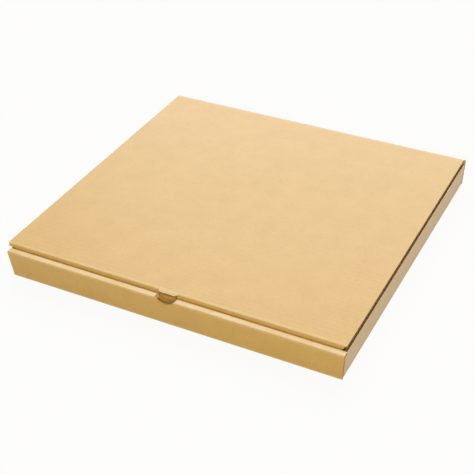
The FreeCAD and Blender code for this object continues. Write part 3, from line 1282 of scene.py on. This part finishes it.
@dataclass
class LidSheet:
    """The lid: top panel, soft front fold, tuck flap and the thumb tab left in the lid's plane.

    Attributes:
        at: the places shared with the tray.
        fluting: what draws the board's flutes.
        paints: the finishes.
        corner_cut: bevel on the lid's front corners.
        sag: how far the panel's middle hangs at most.
        sag_reach: how far under the panel a vertex still hangs down with it.
        sag_margin: from the back wall's face to where the panel lies level again.
        sag_wave: width of the panel's slow waves, and the slice of the noise they come from.
        tuck_shoulder: the lid's side edges to the flap's ends.
        lip_ends: the lid's left and right edges to the short lip beside the flap.
        lip_drop: how far that lip hangs below the lid.
        tuck_taper: how much narrower each end of the flap is at its foot.
        tuck_corner: bevel on the flap's lower corners.
        tab_play: how much narrower the thumb tab is than the notch, each side.
        tab_corner: bevel on the thumb tab's front corners.
        scuff_and_highlight_shift: from the front fold's start to the middle of its paler stretch.
        wear: how strong that paler colour is, from 0 to 1.
        lid_mesh: longest stretch from the front to the back, and how many shares across.
    """

    at: Layout
    fluting: Fluting
    paints: Paints
    corner_cut: float = 3.0
    sag: float = 0.45
    sag_reach: float = 0.5
    sag_margin: float = 8.0
    sag_wave: Point = (110.0, 7.0)
    tuck_shoulder: float = 16.0
    lip_ends: Point = (10.0, 3.4)
    lip_drop: float = 2.2
    tuck_taper: float = 7.0
    tuck_corner: float = 9.0
    tab_play: float = 1.0
    tab_corner: float = 2.0
    scuff_and_highlight_shift: float = 0.6
    wear: float = 0.5
    lid_mesh: tuple[float, int] = (11.0, 36)

    @property
    def tab_reach(self) -> float:
        """Half the thumb tab's width."""
        return self.at.notch[0] / 2 - self.tab_play

    def build(self) -> list[Piece]:
        """Build, dress and attach the lid's pieces.

        Returns:
            The sheet and its flutes.
        """
        at = self.at
        sheet, flutes = self.panels(), self.flutes()
        self.paints.dress(sheet)
        # The front fold turns paler: scuffed paper and a painted highlight.
        paint_scuff_and_highlight(sheet, at, [(at.fold_start + self.scuff_and_highlight_shift, at.lid_top)], self.wear)
        for piece in (sheet, flutes):
            smooth(piece)
            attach(piece, "lid")
        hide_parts("lid")
        return [sheet, flutes]

    def place(self, y: float, z: float, w: float) -> Vector:
        """Place a vertex, with the slight sag of a wide panel on its edges.

        Args:
            y: from the box's front face.
            z: from the floor.
            w: share of the lid's width, from the left.

        Returns:
            The place in the frame.
        """
        at = self.at
        x = at.lid_left + (at.lid_right - at.lid_left) * w
        if z > at.lid_under - self.sag_reach:
            span = at.depth - self.sag_margin - at.fold_start
            along = min(max((y - at.fold_start) / span, 0), 1)
            hollow = 16 * along * (1 - along) * w * (1 - w)   # 1 in the panel's middle
            size, part = self.sag_wave
            wave = 0.5 + 0.5 * noise.noise(Vector((x, y, part)) / size)
            z -= self.sag * hollow * wave
        return at.in_frame(x, y, z)

    def panels(self) -> Piece:
        """Make the lid's two liners, cut to the flap's and the corners' shapes.

        Returns:
            The lid's sheet with its thumb tab.
        """
        at, r, thick = self.at, self.at.lid_crease, BOARD.thickness
        outer = [
            (at.flap_face, at.flap_foot),
            *arc((at.flap_face + r, at.lid_top - r), r, 180, -90, 8),
            (at.lid_seam, at.lid_top),
        ]
        tip = BOARD.liner * math.sqrt(2)
        inner = [
            (at.flap_face + thick, at.flap_foot), (at.flap_face + thick, at.lid_under),
            (at.depth - thick - at.slack, at.lid_under),
            (at.hinge_y - at.slack - tip, at.hinge_z - tip),
        ]
        step, shares = self.lid_mesh
        sheet = Sheet()
        sheet.add_board(refined(outer, step), refined(inner, step), self.place, even(shares), -1)
        lid = cut_away(sheet.to_object("lid"), self.flap_knife(), self.corner_knife())
        return joined("lid_sheet", lid, self.thumb_tab())

    def flap_knife(self) -> Sheet:
        """The waste beside the tuck flap and its lips, and the window the thumb tab leaves.

        Returns:
            The prisms to cut away.
        """
        at, knife, corner = self.at, Sheet(), self.tuck_corner
        under, low = at.lid_under - HAIR, at.flap_foot - PAST
        lip = under - self.lip_drop
        front, back = at.flap_face - PAST, at.flap_face + BOARD.thickness + PAST
        for (side, edge), lip_end in zip(at.lid_edges(), self.lip_ends):
            root = edge - self.tuck_shoulder * side
            tip = root - self.tuck_taper * side
            end, far = edge - lip_end * side, edge + PAST * side
            outline = [
                (far, under), (end, under), (end - side, lip), (root, lip),
                (tip, at.flap_foot + corner), (tip - corner * side, at.flap_foot),
                (tip - corner * side, low), (far, low),
            ]
            knife.add_prism(outline, front, back, at.upright)
        window = rectangle(at.notch_middle - self.tab_reach,
                           at.lid_top - (at.fold_start - at.tab_front),
                           at.notch_middle + self.tab_reach, at.lid_top + PAST)
        knife.add_prism(window, front, at.fold_start, at.upright)
        return knife

    def corner_knife(self) -> Sheet:
        """The small bevels on the lid's two front corners.

        Returns:
            The prisms to cut away.
        """
        at, knife, cut = self.at, Sheet(), self.corner_cut
        face, ahead = at.flap_face, at.flap_face - PAST
        for side, edge in at.lid_edges():
            inside, far = edge - cut * side, edge + PAST * side
            outline = [(inside, ahead), (far, ahead), (far, face + cut), (edge, face + cut),
                       (inside, face)]
            knife.add_prism(outline, at.lid_under - PAST / 2, at.lid_top + PAST, at.in_frame)
        return knife

    def thumb_tab(self) -> Piece:
        """Make the tab's two liners, with bevelled front corners.

        Returns:
            The tab's object.
        """
        at = self.at

        def place(y: float, z: float, w: float) -> Vector:
            """A vertex at a share of the tab's width, narrower at its front corners."""
            bevel = max(0.0, self.tab_corner - (y - at.tab_front))
            return at.in_frame(at.notch_middle + (self.tab_reach - bevel) * (2 * w - 1), y, z)

        outer, inner = ([(y, z) for y in (at.tab_front, at.tab_front + self.tab_corner, at.fold_start)]
                        for z in (at.lid_top, at.lid_under))
        sheet = Sheet()
        sheet.add_board(outer, inner, place, even(4), -1)
        return sheet.to_object("thumb_tab")

    def flutes(self) -> Piece:
        """Make the flutes that show in the lid's edges, flap and thumb tab.

        Returns:
            The waves as one object.
        """
        at, half = self.at, BOARD.thickness / 2
        middle = at.lid_top - half
        start = at.flap_face + self.corner_cut
        panels = [
            FlutePanel(at.in_frame(edge, start, middle), BACK, RIGHT * -side, UP,
                       at.hinge_y - BOARD.thickness - start)
            for side, edge in at.lid_edges()
        ]
        narrow = self.tab_reach - self.tab_corner
        panels.append(FlutePanel(at.in_frame(at.notch_middle - narrow, at.tab_front, middle), BACK,
                                 RIGHT, UP, at.fold_start - at.tab_front, 2 * narrow))
        flap = FlutePanel(at.in_frame(at.lid_left, at.flap_face + half, at.flap_foot), UP, RIGHT,
                          -BACK, at.lid_under - at.flap_foot, at.lid_right - at.lid_left)
        tuck = cut_away(self.fluting.fill("tuck_flutes", [flap]), self.flap_knife())
        return joined("lid_flutes", self.fluting.fill("edge_flutes", panels), tuck)


@dataclass
class RearCrease:
    """The outside liner over the crease, made where it lies with the lid closed.

    Attributes:
        at: the places shared with the tray and the lid.
        paints: the finishes.
        margin: a reach past the crease's round on each side; build works out two places from it and
            does not use them.
        level: how far the liner lies flat beside that round before its next vertices.
        shares: how many shares its width is divided into.
    """

    at: Layout
    paints: Paints
    margin: float = 0.6
    level: float = 1.0
    shares: int = 24

    def build(self) -> Piece:
        """Build the liner where it lies with the lid closed.

        Returns:
            The liner's object.
        """
        at, r = self.at, self.at.crease
        path = [
            (at.depth, at.wall_seam),
            (at.depth, at.lid_top - r - self.level),
            *arc((at.depth - r, at.lid_top - r), r, 0, 90, 10),
            (at.depth - r - self.level, at.lid_top),
            (at.lid_seam, at.lid_top),
        ]

        def place(y: float, z: float, w: float) -> Vector:
            """Place a vertex between the wall's width and the lid's.

            Args:
                y: from the box's front face.
                z: from the floor.
                w: share of the width, from the left.

            Returns:
                The place in the frame.
            """
            share = min(max((at.depth - y) / r, 0.0), 1.0)
            left = at.wall_x(-1, z) * (1 - share) + at.lid_left * share
            right = at.wall_x(1, z) * (1 - share) + at.lid_right * share
            return at.in_frame(left + (right - left) * w, y, z)

        sheet = Sheet()
        sheet.add_leaf(path, shifted(path, BOARD.liner), place, even(self.shares), Skin.OUTER)
        crease = sheet.to_object("rear_crease_liner")
        self.paints.dress(crease)
        # The crease turns paler: scuffed paper and a painted highlight.
        paint_scuff_and_highlight(crease, at, [(at.hinge_y, at.hinge_z)])
        smooth(crease)
        reach = r + self.margin
        tuple(at.in_frame(0, at.depth, at.lid_top - reach))
        tuple(at.in_frame(0, at.depth - reach, at.lid_top))
        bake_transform(crease)
        return crease


@dataclass(frozen=True)
class Camera:
    """The photograph's viewpoint, found from the lid's four edges.

    Attributes:
        place: where it stands in the frame, in millimetres.
        turn: its turn about X, Y and Z in degrees.
        lens: focal length on that sensor.
        sensor: width of the sensor in millimetres.
        far: how far it sees, in metres.
    """

    place: tuple[float, float, float] = (460.8, -919.0, 707.8)
    turn: tuple[float, float, float] = (54.825, 0.852, 26.727)
    lens: float = 79.74
    sensor: float = 36.0
    far: float = 50.0

    def build(self) -> None:
        """Make the camera and use it."""
        data = bpy.data.cameras.new("photo_camera")
        data.lens = self.lens
        data.sensor_width = self.sensor
        data.clip_end = self.far
        camera = linked("photo_camera", data)
        camera.location = Vector(self.place) * MM
        camera.rotation_euler = [math.radians(a) for a in self.turn]
        bpy.context.scene.camera = camera


def seen_directly(tree: Tree) -> Socket:
    """Tell the rays that see the background from those that light the box.

    Args:
        tree: the tree that gets the nodes.

    Returns:
        A socket that is 1 for a ray from the camera, a reflection or through glass.
    """
    rays = add_node(tree, "ShaderNodeLightPath").outputs
    seen = rays["Is Camera Ray"]
    for kind in ("Is Glossy Ray", "Is Transmission Ray"):
        seen = add_node(tree, "ShaderNodeMath", {"operation": "MAXIMUM"}, {
            0: seen, 1: rays[kind]}).outputs[0]
    return seen


@dataclass(frozen=True)
class Softbox:
    """A square soft lamp that points at the box.

    Attributes:
        name: the lamp's name.
        place: where it hangs, in metres.
        side: its side in metres.
        power: its power in watts.
    """

    name: str
    place: tuple[float, float, float]
    side: float
    power: float

    def build(self) -> None:
        """Hang the lamp."""
        data = bpy.data.lights.new(self.name, "AREA")
        data.size = self.side
        data.energy = self.power
        lamp = linked(self.name, data)
        lamp.location = self.place
        lamp.rotation_mode = "QUATERNION"
        lamp.rotation_quaternion = (-Vector(self.place)).to_track_quat("-Z", "Y")


@dataclass(frozen=True)
class Studio:
    """A pale floor, a large softbox behind, a smaller one in front, and even light all round.

    Attributes:
        lamps: the softboxes. The one behind also gives the lid its pale gloss.
        light: strength of the even light.
        floor_reach: half the floor's side, in metres.
        floor_level: its height, just under the box.
        floor_grey: how much light it throws back.
        floor_glow: how much of the floor that the camera sees is plain white.
    """

    lamps: tuple[Softbox, ...] = (
        Softbox("softbox_behind", (-1.22, 3.78, 3.38), 4.3, 226.0),
        Softbox("softbox_in_front", (1.4, -2.8, 1.7), 2.4, 51.0),
    )
    light: float = 0.24
    floor_reach: float = 30.0
    floor_level: float = -0.0001
    floor_grey: float = 0.82
    floor_glow: float = 0.94

    def build(self) -> None:
        """Make the floor, the lamps and the world."""
        self.floor()
        for lamp in self.lamps:
            lamp.build()
        self.world()
        bpy.context.scene.view_settings.view_transform = "Standard"

    def floor(self) -> None:
        """A wide white floor that keeps a faint shadow."""
        mesh = bpy.data.meshes.new("floor")
        reach = self.floor_reach
        corners = rectangle(-reach, -reach, reach, reach)
        mesh.from_pydata([(x, y, self.floor_level) for x, y in corners], [], [(0, 1, 2, 3)])
        white = bpy.data.materials.new("white_sweep")
        tree = empty_tree(white)
        matt = add_node(tree, "ShaderNodeBsdfDiffuse", {}, {"Color": (*[self.floor_grey] * 3, 1)})
        glow = add_node(tree, "ShaderNodeEmission", {}, {"Color": BACKDROP})
        share = add_node(tree, "ShaderNodeMath", {"operation": "MULTIPLY"}, {
            0: seen_directly(tree), 1: self.floor_glow})
        mixed = add_node(tree, "ShaderNodeMixShader", {}, {
            0: share.outputs[0], 1: matt.outputs[0], 2: glow.outputs[0]})
        add_node(tree, "ShaderNodeOutputMaterial", {}, {"Surface": mixed.outputs[0]})
        mesh.materials.append(white)
        floor = linked("floor", mesh)

    def world(self) -> None:
        """Even white light from all round."""
        world = bpy.data.worlds.new("studio")
        tree = empty_tree(world)
        glow = add_node(tree, "ShaderNodeBackground", {}, {
            "Color": (1, 1, 1, 1), "Strength": self.light})
        white = add_node(tree, "ShaderNodeBackground", {}, {"Color": BACKDROP})
        seen = add_node(tree, "ShaderNodeMixShader", {}, {
            0: seen_directly(tree), 1: glow.outputs[0], 2: white.outputs[0]})
        add_node(tree, "ShaderNodeOutputWorld", {}, {"Surface": seen.outputs[0]})
        bpy.context.scene.world = world


def main() -> None:
    """Build the box around the frame, then the studio and the camera."""
    logging.basicConfig(level=logging.INFO, format="%(name)s: %(message)s")
    Camera().build()
    layout, paints = Layout(), Paints()
    fluting = Fluting(paints.medium)
    tray = TraySheet(layout, fluting, paints)
    lid = LidSheet(layout, fluting, paints)
    crease = RearCrease(layout, paints)
    for piece in (*tray.build(), *lid.build(), crease.build()):
        log.info("%s: %d faces", piece.name, len(piece.data.polygons))
    Studio().build()


if __name__ == "__main__":
    main()
